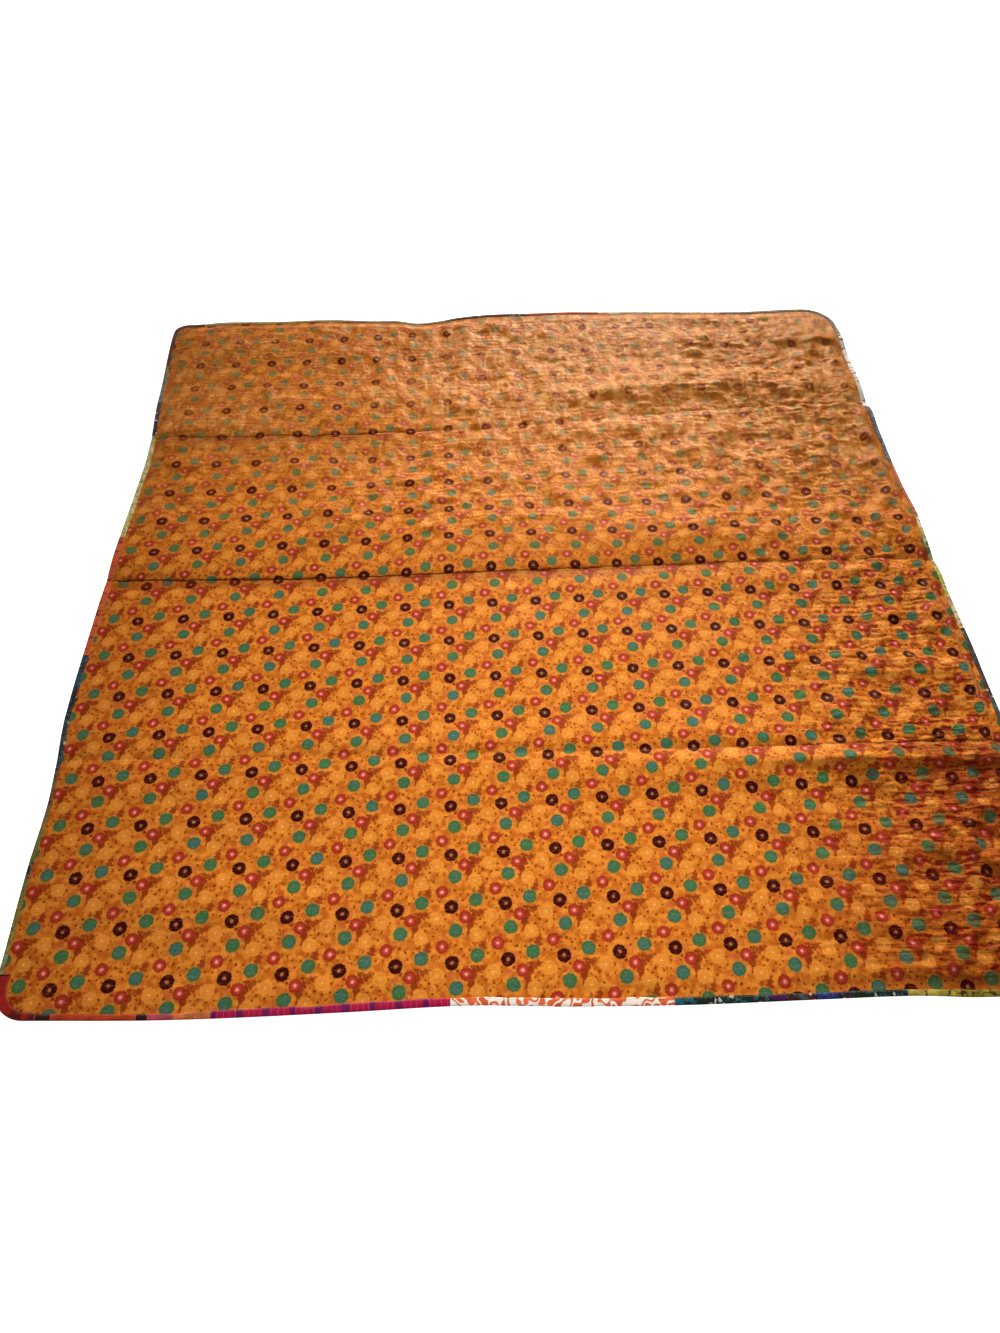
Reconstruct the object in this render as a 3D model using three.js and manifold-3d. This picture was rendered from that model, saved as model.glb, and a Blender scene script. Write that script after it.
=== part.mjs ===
import * as THREE from 'three';
import { mergeVertices } from 'three/addons/utils/BufferGeometryUtils.js';
import Module from 'manifold-3d';

// A quilted cotton throw, opened out on a floor after lying folded in quarters: one quilted sheet,
// gripped along its edge by strips of other cloths that are turned over from under it.
// Millimetres. X runs along the near edge, Y away from it and Z up. The floor is Z = 0.

const wasm = await Module();
wasm.setup();

// ---- Driving dimensions ----

const HALF_WIDTH = 865;      // middle to the left and right edges
const HALF_DEPTH = 880;      // middle to the near and far edges
const BODY_THICK = 3;        // the stitched layers of cotton
const TONGUE_THICK = 1.2;    // the same layers, pressed under the edge strips
const STRIP_THICK = 0.9;     // an edge strip with its turned-in raw edge
const GAP = 0.3;             // between any two pieces
const EDGE_THICK = TONGUE_THICK + 2 * (STRIP_THICK + GAP);

const EDGE_STEP = 110;       // longest straight stretch of the outline
const CORNER_STEPS = 5;      // straight stretches round a corner
const COLUMN_STEP = 95;      // grid columns across the width
const MARGIN = 35;           // how far the folded field runs past the outline
const PRISM_TALL = 80;       // upright cutters, taller than any fold

const QUILT_COLOUR = 0xdc8532;
const ROUGHNESS = { quilt: 0.8, strip: 0.85 };

// Turns rows of bare values into objects with named columns.
const table = (columns, ...rows) =>
  rows.map((row) => Object.fromEntries(columns.map((column, i) => [column, row[i]])));

// ---- Outline: four uneven edges with rounded corners ----

// How far an edge stands out from its straight line, at places along it.
const EDGES = {
  near: table(['at', 'out'],
    [-780, -7], [-600, -2], [-470, -2], [-300, -5], [-120, -9], [30, -3],
    [220, 0], [420, -2], [560, -3], [660, 2], [800, 1]),
  right: table(['at', 'out'],
    [-790, -2], [-550, -2], [-478, -7], [-290, 0], [-50, -5], [62, -12], [128, -8],
    [308, -12], [428, -13], [578, -18], [708, -13], [790, -18]),
  far: table(['at', 'out'],
    [-810, -11], [-730, -2], [-600, -4], [-470, 0], [-360, -9], [-290, -12], [-235, -25],
    [-180, -19], [-130, -10], [-60, -6], [60, -7], [180, 0], [330, 2], [600, -8], [740, -1]),
  left: table(['at', 'out'],
    [-770, -21], [-630, -19], [-510, -22], [-430, -17], [-330, -8], [-110, -9], [45, -14],
    [208, -17], [358, -22], [458, -19], [568, -11], [708, -4], [806, 0]),
};

const CORNER_RADIUS = { nearLeft: 58, nearRight: 45, farRight: 72, farLeft: 34 };

// Strips of other cloth, anticlockwise round the edge from the near left corner. Each starts at a place
// on a side and runs to where the next one starts. Its width on the front eases to the next one's.
const STRIPS = table(['name', 'side', 'start', 'width', 'colour'],
  ['vermilion', 'near', -770, 13, 0xc8471c],
  ['rose', 'near', -620, 9, 0xc4566a],
  ['magenta', 'near', -505, 10, 0x9c1f52],
  ['scroll', 'near', -145, 13, 0xd9632e],
  ['teal', 'near', 195, 12, 0x1f4a48],
  ['olive', 'near', 550, 10, 0xa8962a],
  ['forest', 'right', -673, 11, 0x26382e],
  ['lime', 'right', -184, 10, 0xb9b45a],
  ['salmon', 'right', 110, 9, 0xb8604a],
  ['slate', 'right', 292, 10, 0x5c6068],
  ['chalk', 'right', 480, 13, 0xe6dcd2],
  ['dusk', 'right', 760, 12, 0x4c5666],
  ['cream', 'far', 560, 10, 0xcdb88a],
  ['red', 'far', 240, 10, 0xb03a24],
  ['brown', 'far', 50, 10, 0x4a1a16],
  ['sage', 'far', -160, 9, 0x7c8474],
  ['khaki', 'far', -450, 10, 0xa89c5c],
  ['wine', 'far', -790, 11, 0x5a1814],
  ['grey', 'left', 694, 10, 0x6a6a60],
  ['mulberry', 'left', 553, 11, 0x4e1c20],
  ['straw', 'left', 435, 11, 0xb0a850],
  ['orange', 'left', 111, 14, 0xc8501e],
  ['navy', 'left', -193, 13, 0x28323e],
  ['moss', 'left', -443, 10, 0x8c8c34],
  ['maroon', 'left', -803, 20, 0x7a1414]);

// ---- Folds ----

// Places across the width at which each fold line's course and height are given.
const STATIONS = [-865, -430, 0, 430, 865];

// Fold lines from the near edge to the far one: where each runs (y) and how high the underside lies
// there (z). A sharp line is a pressed crease; the others are soft. steps: grid rows up to the next line.
const FOLDS = table(['line', 'sharp', 'steps', 'y', 'z'],
  ['near margin', 0, 3, [-915, -915, -915, -915, -915], [0, 0, 0, 0, 0]],
  ['near crease, foot', 0, 2, [-533, -533, -538, -553, -583], [0, 0, 0, 0, 0]],
  ['near crease, near ridge', 0, 1, [-458, -460, -462, -468, -477], [4, 4, 4, 9, 14]],
  ['near crease', 1, 1, [-426, -431, -435, -438, -443], [0, 0, 0, 1, 4]],
  ['near crease, far ridge', 0, 2, [-398, -407, -412, -414, -418], [4, 5, 5, 6, 9]],
  ['near crease, back foot', 0, 1, [-312, -327, -337, -327, -292], [0, 0, 0, 0, 1]],
  ['middle crease, foot', 0, 2, [-114, -109, -99, -94, -100], [0, 0, 0, 0, 1]],
  ['middle crease, near ridge', 0, 1, [-42, -48, -41, -36, -42], [4, 4, 5, 6, 7]],
  ['middle crease', 1, 2, [-8, -16, -7, 0, -5], [0, 0, 0, 0, 2]],
  ['middle crease, far ridge', 0, 2, [56, 78, 88, 85, 63], [8, 12, 17, 19, 15]],
  ['middle crease, back foot', 0, 2, [235, 259, 283, 267, 236], [0, 1, 2, 3, 3]],
  ['far crease, foot', 0, 1, [340, 340, 355, 385, 402], [0, 0, 1, 4, 5]],
  ['far crease, near ridge', 0, 1, [390, 387, 400, 435, 458], [4, 5, 7, 11, 10]],
  ['far crease', 1, 2, [424, 421, 434, 474, 496], [0, 0, 0, 2, 4]],
  ['far crease, far ridge', 0, 2, [501, 509, 527, 577, 579], [6, 8, 10, 20, 16]],
  ['far crease, back foot', 0, 2, [624, 644, 665, 694, 694], [0, 0, 1, 3, 4]],
  ['far shelf', 0, 2, [766, 766, 766, 752, 743], [2, 2, 4, 14, 12]],
  ['far edge', 0, 1, [878, 878, 878, 878, 878], [0, 0, 3, 5, 4]],
  ['far margin', 0, 1, [915, 915, 915, 915, 915], [0, 0, 3, 5, 4]]);

// Soft swells between the folds: middle, direction in degrees, half length, half width and height.
const SWELLS = table(['x', 'y', 'turn', 'long', 'wide', 'rise'],
  [40, 885, 0, 260, 90, 9],
  [-330, 194, 33, 320, 110, 6],
  [150, 348, 38, 190, 80, 6],
  [-480, 302, 3, 150, 60, 4],
  [520, 280, -8, 260, 90, 5],
  [430, 697, 14, 190, 70, 5],
  [680, -695, 8, 260, 110, 5],
  [720, -226, -5, 190, 90, 5],
  [-560, -693, -6, 260, 100, 3]);

// ---- Curves ----

// Value at x of a smooth curve through the points (xs, ys), level past both ends.
function curve(xs, ys, x) {
  const last = xs.length - 1;
  if (x <= xs[0]) return ys[0];
  if (x >= xs[last]) return ys[last];
  const i = xs.findIndex((edge) => x < edge) - 1;
  const slope = (k) => {
    const a = Math.max(k - 1, 0);
    const b = Math.min(k + 1, last);
    return (ys[b] - ys[a]) / (xs[b] - xs[a]);
  };
  const run = xs[i + 1] - xs[i];
  const t = (x - xs[i]) / run;
  const rise = ys[i + 1] - ys[i];
  const ease = t * t * (3 - 2 * t);
  const bendIn = t * (1 - t) * (1 - t) * slope(i);
  const bendOut = t * t * (1 - t) * slope(i + 1);
  return ys[i] + rise * ease + run * (bendIn - bendOut);
}

// Signed distance of an edge's line from the middle, at a place along it.
const edgeLine = (side, half, at) => half + curve(
  EDGES[side].map((row) => row.at), EDGES[side].map((row) => row.out), at);
const nearY = (x) => -edgeLine('near', HALF_DEPTH, x);
const farY = (x) => edgeLine('far', HALF_DEPTH, x);
const leftX = (y) => -edgeLine('left', HALF_WIDTH, y);
const rightX = (y) => edgeLine('right', HALF_WIDTH, y);

// ---- Outline points ----

// Centre of a corner's arc, settled so that the arc meets both uneven edges.
function cornerCentre(sideX, sideY, signX, signY, radius) {
  const centre = new THREE.Vector2(signX * (HALF_WIDTH - radius), signY * (HALF_DEPTH - radius));
  for (let pass = 0; pass < 4; pass += 1) {
    centre.set(sideX(centre.y) - signX * radius, sideY(centre.x) - signY * radius);
  }
  return centre;
}

const corners = {
  nearLeft: cornerCentre(leftX, nearY, -1, -1, CORNER_RADIUS.nearLeft),
  nearRight: cornerCentre(rightX, nearY, 1, -1, CORNER_RADIUS.nearRight),
  farRight: cornerCentre(rightX, farY, 1, 1, CORNER_RADIUS.farRight),
  farLeft: cornerCentre(leftX, farY, -1, 1, CORNER_RADIUS.farLeft),
};

// Points along one side from one corner to the next, with one at each place where a strip starts.
function sidePoints(side, from, to, pointAt) {
  const starts = STRIPS.filter((strip) => strip.side === side).map((strip) => strip.start);
  const stops = [from, ...starts, to].sort((a, b) => (a - b) * Math.sign(to - from));
  const points = [];
  for (let i = 0; i + 1 < stops.length; i += 1) {
    const steps = Math.ceil(Math.abs(stops[i + 1] - stops[i]) / EDGE_STEP);
    for (let k = 0; k < steps; k += 1) {
      const at = THREE.MathUtils.lerp(stops[i], stops[i + 1], k / steps);
      points.push({ ...pointAt(at), startsStrip: k === 0 && i > 0 });
    }
  }
  return points;
}

// Points round a corner's arc, from the angle at which it begins.
function cornerPoints(name, begin) {
  const points = [];
  for (let k = 0; k < CORNER_STEPS; k += 1) {
    const angle = THREE.MathUtils.degToRad(begin + 90 * k / CORNER_STEPS);
    points.push({
      x: corners[name].x + CORNER_RADIUS[name] * Math.cos(angle),
      y: corners[name].y + CORNER_RADIUS[name] * Math.sin(angle),
    });
  }
  return points;
}

// The whole outline, anticlockwise from the near left corner, turned so that a strip starts it.
function makeOutline() {
  const walk = [
    ...sidePoints('near', corners.nearLeft.x, corners.nearRight.x, (x) => ({ x, y: nearY(x) })),
    ...cornerPoints('nearRight', -90),
    ...sidePoints('right', corners.nearRight.y, corners.farRight.y, (y) => ({ x: rightX(y), y })),
    ...cornerPoints('farRight', 0),
    ...sidePoints('far', corners.farRight.x, corners.farLeft.x, (x) => ({ x, y: farY(x) })),
    ...cornerPoints('farLeft', 90),
    ...sidePoints('left', corners.farLeft.y, corners.nearLeft.y, (y) => ({ x: leftX(y), y })),
    ...cornerPoints('nearLeft', 180),
  ];
  const first = walk.findIndex((point) => point.startsStrip);
  return [...walk.slice(first), ...walk.slice(0, first)];
}

const outline = makeOutline();

// Direction along the outline and width of the strip at each point.
outline.forEach((point, i) => {
  const before = outline.at(i - 1);
  const after = outline[(i + 1) % outline.length];
  const length = Math.hypot(after.x - before.x, after.y - before.y);
  point.along = { x: (after.x - before.x) / length, y: (after.y - before.y) / length };
});
const stripStarts = outline.map((point, i) => (point.startsStrip ? i : -1)).filter((i) => i >= 0);
stripStarts.forEach((start, k) => {
  const end = k + 1 < stripStarts.length ? stripStarts[k + 1] : outline.length;
  const next = STRIPS[(k + 1) % STRIPS.length];
  for (let i = start; i < end; i += 1) {
    outline[i].width = THREE.MathUtils.lerp(STRIPS[k].width, next.width, (i - start) / (end - start));
  }
});

// A point moved inwards from the outline, and along it.
function inset(point, inwards, along = 0) {
  return new THREE.Vector2(
    point.x - point.along.y * inwards + point.along.x * along,
    point.y + point.along.x * inwards + point.along.y * along);
}

// ---- Height of the folded cloth above the floor ----

const foldY = (fold, x) => curve(STATIONS, fold.y, x);
const foldZ = (fold, x) => Math.max(curve(STATIONS, fold.z, x), 0);

// Share of the way from one line's height to the next: steep where it leaves a sharp crease.
function foldShape(from, to, t) {
  if (from.sharp) return Math.sin(t * Math.PI / 2);
  if (to.sharp) return 1 - Math.cos(t * Math.PI / 2);
  return (1 - Math.cos(t * Math.PI)) / 2;
}

// Rounded mound that ends level at its rim.
function swellHeight(swell, x, y) {
  const turn = THREE.MathUtils.degToRad(swell.turn);
  const u = ((x - swell.x) * Math.cos(turn) + (y - swell.y) * Math.sin(turn)) / swell.long;
  const v = ((y - swell.y) * Math.cos(turn) - (x - swell.x) * Math.sin(turn)) / swell.wide;
  return swell.rise * Math.max(1 - u * u - v * v, 0) ** 2;
}

// Rows of points of the underside: each row follows a fold line, or lies between two of them.
function makeField() {
  const half = HALF_WIDTH + MARGIN;
  const columns = Math.round(2 * half / COLUMN_STEP);
  const xs = Array.from({ length: columns + 1 }, (_, i) => -half + 2 * half * i / columns);
  const rows = [];
  FOLDS.forEach((fold, i) => {
    const next = FOLDS[i + 1] ?? fold;
    for (let k = 0; k < fold.steps; k += 1) {
      const t = k / fold.steps;
      rows.push(xs.map((x) => {
        const y = THREE.MathUtils.lerp(foldY(fold, x), foldY(next, x), t);
        const z = THREE.MathUtils.lerp(foldZ(fold, x), foldZ(next, x), foldShape(fold, next, t));
        const swell = SWELLS.reduce((sum, row) => sum + swellHeight(row, x, y), 0);
        return new THREE.Vector3(x, y, z + swell);
      }));
    }
  });
  return rows;
}

const field = makeField();

// ---- Solids ----

// Closed mesh to a solid that can be joined and cut.
function solidOf(geometry) {
  geometry.deleteAttribute('normal');
  geometry.deleteAttribute('uv');
  const merged = mergeVertices(geometry, 1e-5);
  return new wasm.Manifold(new wasm.Mesh({
    numProp: 3,
    vertProperties: new Float32Array(merged.attributes.position.array),
    triVerts: new Uint32Array(merged.index.array),
  }));
}

// Layer of the folded field between two distances above its underside.
function layer(low, high) {
  const across = field[0].length;
  const count = across * field.length;
  const positions = [];
  [low, high].forEach((rise) => field.flat().forEach((p) => positions.push(p.x, p.y, p.z + rise)));
  const index = [];
  const quad = (a, b, c, d) => index.push(a, b, c, a, c, d);
  for (let r = 0; r + 1 < field.length; r += 1) {
    for (let c = 0; c + 1 < across; c += 1) {
      const a = r * across + c;
      quad(a, a + across, a + across + 1, a + 1);
      quad(a + count, a + 1 + count, a + across + 1 + count, a + across + count);
    }
  }
  const wall = (a, b) => quad(a, b, b + count, a + count);
  for (let c = 0; c + 1 < across; c += 1) {
    wall(c, c + 1);
    wall(count - 1 - c, count - 2 - c);
  }
  for (let r = 0; r + 1 < field.length; r += 1) {
    wall((r + 1) * across, r * across);
    wall((r + 1) * across - 1, (r + 2) * across - 1);
  }
  const geometry = new THREE.BufferGeometry();
  geometry.setAttribute('position', new THREE.Float32BufferAttribute(positions, 3));
  geometry.setIndex(index);
  return solidOf(geometry);
}

// Upright prism, taller than the folds, on a plan cut into triangles. The rim is the plan's outer ring
// of points, anticlockwise; any inner points come after it in the triangles' numbering.
function prism(rim, inner, triangles) {
  const points = [...rim, ...inner];
  const count = points.length;
  const positions = [];
  [-PRISM_TALL / 4, PRISM_TALL].forEach((z) => points.forEach((p) => positions.push(p.x, p.y, z)));
  const index = [];
  triangles.forEach(([a, b, c]) => index.push(a, c, b, a + count, b + count, c + count));
  rim.forEach((_, a) => {
    const b = (a + 1) % rim.length;
    index.push(a, b, b + count, a, b + count, a + count);
  });
  const geometry = new THREE.BufferGeometry();
  geometry.setAttribute('position', new THREE.Float32BufferAttribute(positions, 3));
  geometry.setIndex(index);
  return solidOf(geometry);
}

// Prism on the whole outline, moved inwards at each point: triangles fan out from the middle.
function outlinePrism(inwards) {
  const rim = outline.map((point) => inset(point, inwards(point)));
  const fan = rim.map((_, k) => [rim.length, k, (k + 1) % rim.length]);
  return prism(rim, [new THREE.Vector2(0, 0)], fan);
}

const throughEdge = layer(0, EDGE_THICK);
const underStrips = layer(STRIP_THICK, EDGE_THICK - STRIP_THICK);
const cavity = underStrips.intersect(outlinePrism(() => STRIP_THICK));

// The quilted sheet: its full body inside the strips, and the pressed tongue that they grip.
function makeQuilt() {
  const body = layer(0, BODY_THICK).intersect(outlinePrism((point) => point.width + GAP));
  const tongue = layer(STRIP_THICK + GAP, STRIP_THICK + GAP + TONGUE_THICK).intersect(
    outlinePrism(() => STRIP_THICK + GAP));
  return body.add(tongue);
}

// One edge strip: a C-shaped wrap from under the quilt, round its edge and over its front.
function makeStrip(start, end) {
  const stretch = Array.from({ length: end - start + 1 }, (_, k) => outline[(start + k) % outline.length]);
  const last = stretch.length - 1;
  const trim = (k) => (k === 0 ? GAP / 2 : 0) - (k === last ? GAP / 2 : 0);
  const outer = stretch.map((point, k) => inset(point, 0, trim(k)));
  const inner = stretch.map((point, k) => inset(point, point.width, trim(k)));
  const rim = [...outer, ...inner.reverse()];
  const facing = (k) => rim.length - 1 - k;
  const halves = outer.slice(1).flatMap((_, k) => [
    [k, k + 1, facing(k + 1)], [k, facing(k + 1), facing(k)]]);
  return throughEdge.intersect(prism(rim, [], halves)).subtract(cavity);
}

// Named mesh from a solid.
function meshOf(name, solid, material) {
  const { vertProperties, triVerts } = solid.getMesh();
  const geometry = new THREE.BufferGeometry();
  geometry.setAttribute('position', new THREE.BufferAttribute(new Float32Array(vertProperties), 3));
  geometry.setIndex(new THREE.BufferAttribute(new Uint32Array(triVerts), 1));
  geometry.computeVertexNormals();
  const mesh = new THREE.Mesh(geometry, material);
  mesh.name = name;
  return mesh;
}

// ---- The throw ----

const cotton = (color, roughness) => new THREE.MeshStandardMaterial({ color, roughness, metalness: 0 });

const group = new THREE.Group();
group.add(meshOf('quilt', makeQuilt(), cotton(QUILT_COLOUR, ROUGHNESS.quilt)));
stripStarts.forEach((start, k) => {
  const end = stripStarts[k + 1] ?? outline.length;
  const material = cotton(STRIPS[k].colour, ROUGHNESS.strip);
  group.add(meshOf(`edge_${STRIPS[k].name}`, makeStrip(start, end), material));
});

// The origin is the middle of the throw's box, at floor level.
const box = new THREE.Box2().setFromPoints(outline.map(({ x, y }) => new THREE.Vector2(x, y)));
const middle = box.getCenter(new THREE.Vector2());
group.position.set(-middle.x, -middle.y, 0);

export default group;
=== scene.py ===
import math

import bpy
import numpy as np
from mathutils import Matrix, Vector


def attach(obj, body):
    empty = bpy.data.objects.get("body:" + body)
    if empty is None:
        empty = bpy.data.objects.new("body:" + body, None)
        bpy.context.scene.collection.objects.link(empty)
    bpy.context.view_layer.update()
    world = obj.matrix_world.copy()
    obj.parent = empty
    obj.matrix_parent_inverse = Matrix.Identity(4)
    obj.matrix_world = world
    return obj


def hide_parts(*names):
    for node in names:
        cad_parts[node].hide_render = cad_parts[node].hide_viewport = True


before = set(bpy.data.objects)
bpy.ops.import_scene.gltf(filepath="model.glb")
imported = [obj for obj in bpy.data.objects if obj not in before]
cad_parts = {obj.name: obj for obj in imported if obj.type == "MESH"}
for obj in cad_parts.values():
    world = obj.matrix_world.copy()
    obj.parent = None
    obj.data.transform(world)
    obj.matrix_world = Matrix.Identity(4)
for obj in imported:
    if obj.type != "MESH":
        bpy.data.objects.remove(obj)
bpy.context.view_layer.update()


# ---- The quilt ----
# One sheet of layered old cotton, printed with small flowers and held together by close rows of running
# stitch, which draw it into puckers. It lies opened out on a floor after being kept folded in quarters,
# so pressed creases and soft folds run across it. Tables and shapes are in millimetres.

MM = 0.001
HALF_WIDTH = 865
HALF_DEPTH = 880
BODY_THICK = 3.0
TONGUE_LOW = 1.2           # the pressed tongue under the edge strips
TONGUE_HIGH = 2.4
TONGUE_INSET = 1.2
TONGUE_FROM, TONGUE_SLOPE = 9, 4      # it starts to thicken 9 from the edge and is full thick 4 further in
CALM_FROM, CALM_SLOPE = 14, 26        # the cloth starts to heave 14 from the edge and is free 26 further in
HEAVE_SINK, SINK_FROM = 7.5, 14       # on folds 14 high and more, heaves go down about as far as up
STEP_FRONT, STEP_BACK = 2.2, 46       # half widths of the step behind a crease, on its two sides
PRESS_DEEP, PRESS_HALF = 1.2, 4       # how deep and how wide a crease is pressed into the face
STITCH_ROWS = 140
LINES_A_ROW = 3            # mesh lines to each row of stitches
COLUMNS = 208
UNDER_COLUMNS = 26


def table(columns, *rows):
    """Rows of bare values as dictionaries with named columns."""
    return [dict(zip(columns.split(), row)) for row in rows]


# How far an edge stands out from its straight line, at places along it.
EDGES = {
    "near": [(-780, -7), (-600, -2), (-470, -2), (-300, -5), (-120, -9), (30, -3),
             (220, 0), (420, -2), (560, -3), (660, 2), (800, 1)],
    "right": [(-790, -2), (-550, -2), (-478, -7), (-290, 0), (-50, -5), (62, -12), (128, -8),
              (308, -12), (428, -13), (578, -18), (708, -13), (790, -18)],
    "far": [(-810, -11), (-730, -2), (-600, -4), (-470, 0), (-360, -9), (-290, -12), (-235, -25),
            (-180, -19), (-130, -10), (-60, -6), (60, -7), (180, 0), (330, 2), (600, -8), (740, -1)],
    "left": [(-770, -21), (-630, -19), (-510, -22), (-430, -17), (-330, -8), (-110, -9), (45, -14),
             (208, -17), (358, -22), (458, -19), (568, -11), (708, -4), (806, 0)],
}

# Places across the width at which each fold line's course and height are given. A sharp line is a pressed
# crease, and also has how strongly it is marked and how far the cloth steps up behind it.
STATIONS = (-865, -430, 0, 430, 865)
FLAT = (0, 0, 0, 0, 0)
FOLDS = table(
    "line sharp y z mark step",
    ("near margin", 0, (-915, -915, -915, -915, -915), FLAT),
    ("near crease, foot", 0, (-533, -533, -538, -553, -583), FLAT),
    ("near crease, near ridge", 0, (-458, -460, -462, -468, -477), (1, 1.5, 3, 8, 14)),
    ("near crease", 1, (-426, -431, -435, -438, -443), (0, 0, 0, 1, 4), (0.5, 0.3, 0.25, 0.5, 1.0), FLAT),
    ("near crease, far ridge", 0, (-398, -407, -412, -414, -418), (1, 2, 3, 5, 9)),
    ("near crease, back foot", 0, (-312, -327, -337, -327, -292), (0, 0, 0, 0, 1)),
    ("middle crease, foot", 0, (-114, -109, -99, -94, -100), (0, 0, 0, 0, 1)),
    ("middle crease, near ridge", 0, (-42, -48, -41, -36, -42), (1, 1, 1.5, 3, 5)),
    ("middle crease", 1, (-8, -16, -7, 0, -5), (0, 0, 0, 0, 2),
     (0.9, 1.0, 0.9, 0.6, 0.5), (1.8, 2.6, 2.8, 2, 0)),
    ("middle crease, far ridge", 0, (56, 78, 88, 85, 63), (7, 10, 12, 17, 15)),
    ("middle crease, back foot", 0, (235, 259, 283, 267, 236), (0, 1, 2, 3, 3)),
    ("far crease, foot", 0, (340, 340, 355, 385, 402), (0, 0, 1, 4, 5)),
    ("far crease, near ridge", 0, (390, 387, 400, 435, 458), (1, 2, 6, 11, 10)),
    ("far crease", 1, (424, 421, 434, 474, 496), (0, 0, 0, 1, 2),
     (0.7, 0.8, 0.3, 0.5, 0.6), (1.5, 1.5, 1, 0, 0)),
    ("far crease, far ridge", 0, (501, 509, 527, 577, 569), (6, 8, 10, 20, 15)),
    ("far crease, back foot", 0, (624, 644, 665, 694, 694), (0, 0, 1, 3, 4)),
    ("far shelf", 0, (766, 766, 766, 752, 743), (2, 2, 4, 14, 12)),
    ("far edge", 0, (878, 878, 878, 878, 878), (0, 0, 3, 5, 4)),
    ("far margin", 0, (915, 915, 915, 915, 915), (0, 0, 3, 5, 4)))

# Soft swells between the folds: middle, direction in degrees, half length, half width and height.
SWELLS = table(
    "x y turn long wide rise",
    (40, 885, 0, 260, 90, 9),
    (-330, 194, 33, 320, 110, 6),
    (150, 348, 38, 190, 80, 6),
    (-480, 302, 3, 150, 60, 4),
    (520, 280, -8, 260, 90, 5),
    (430, 697, 14, 190, 70, 5),
    (680, -695, 8, 260, 110, 5),
    (720, -226, -5, 190, 90, 5),
    (-560, -693, -6, 260, 100, 3))


def curve(points, x):
    """Smooth curve through (place, value) points: on each stretch a cubic whose end slopes are the chords
    between the neighbouring points. It is level past both ends."""
    places, values = np.array(points, float).T
    order = np.arange(len(places))
    behind = np.maximum(order - 1, 0)
    ahead = np.minimum(order + 1, len(places) - 1)
    slope = (values[ahead] - values[behind]) / (places[ahead] - places[behind])
    x = np.clip(x, places[0], places[-1])
    i = np.clip(np.searchsorted(places, x, side="right") - 1, 0, len(places) - 2)
    run = places[i + 1] - places[i]
    t = (x - places[i]) / run
    rise = (values[i + 1] - values[i]) * t * t * (3 - 2 * t)
    return values[i] + rise + run * t * (1 - t) * ((1 - t) * slope[i] - t * slope[i + 1])


def near_y(x):
    """Place of the near edge across the width. The other three sides are alike."""
    return -HALF_DEPTH - curve(EDGES["near"], x)


def far_y(x):
    return HALF_DEPTH + curve(EDGES["far"], x)


def left_x(y):
    return -HALF_WIDTH - curve(EDGES["left"], y)


def right_x(y):
    return HALF_WIDTH + curve(EDGES["right"], y)


def corner(side_x, side_y, sign_x, sign_y, radius):
    """Centre and radius of a corner's arc, settled so that the arc meets both uneven edges."""
    x = sign_x * (HALF_WIDTH - radius)
    y = sign_y * (HALF_DEPTH - radius)
    for _ in range(4):
        x, y = side_x(y) - sign_x * radius, side_y(x) - sign_y * radius
    return float(x), float(y), radius


CORNERS = {
    (-1, -1): corner(left_x, near_y, -1, -1, 58),
    (1, -1): corner(right_x, near_y, 1, -1, 45),
    (1, 1): corner(right_x, far_y, 1, 1, 72),
    (-1, 1): corner(left_x, far_y, -1, 1, 34),
}


def ease(t):
    """0 below 0, 1 above 1, and 3t² − 2t³ between."""
    t = np.clip(t, 0, 1)
    return t * t * (3 - 2 * t)


def course(fold, key, x):
    """One of a fold line's values at places across the width."""
    return curve(list(zip(STATIONS, fold[key])), x)


def lie(x, y):
    """Height of the underside above the floor. Between two fold lines it goes from one's height to the
    other's: as a quarter sine out of a pressed crease, as that shape turned round into one, and as half
    a cosine between soft lines. Each swell adds rise · (1 − u² − v²)² inside its oval."""
    ys = np.array([course(fold, "y", x) for fold in FOLDS])
    zs = np.array([np.maximum(course(fold, "z", x), 0) for fold in FOLDS])
    sharp = np.array([fold["sharp"] for fold in FOLDS])
    band = np.clip((y >= ys).sum(axis=0) - 1, 0, len(FOLDS) - 2)
    y0, y1 = (np.take_along_axis(ys, band[None] + k, 0)[0] for k in (0, 1))
    z0, z1 = (np.take_along_axis(zs, band[None] + k, 0)[0] for k in (0, 1))
    t = np.clip((y - y0) / (y1 - y0), 0, 1)
    soft = (1 - np.cos(t * np.pi)) / 2
    into = 1 - np.cos(t * np.pi / 2)
    out = np.sin(t * np.pi / 2)
    height = z0 + (z1 - z0) * np.where(sharp[band], out, np.where(sharp[band + 1], into, soft))
    for swell in SWELLS:
        turn = math.radians(swell["turn"])
        dx, dy = x - swell["x"], y - swell["y"]
        u = (dx * math.cos(turn) + dy * math.sin(turn)) / swell["long"]
        v = (dy * math.cos(turn) - dx * math.sin(turn)) / swell["wide"]
        height = height + swell["rise"] * np.maximum(1 - u * u - v * v, 0) ** 2
    return height


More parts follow.
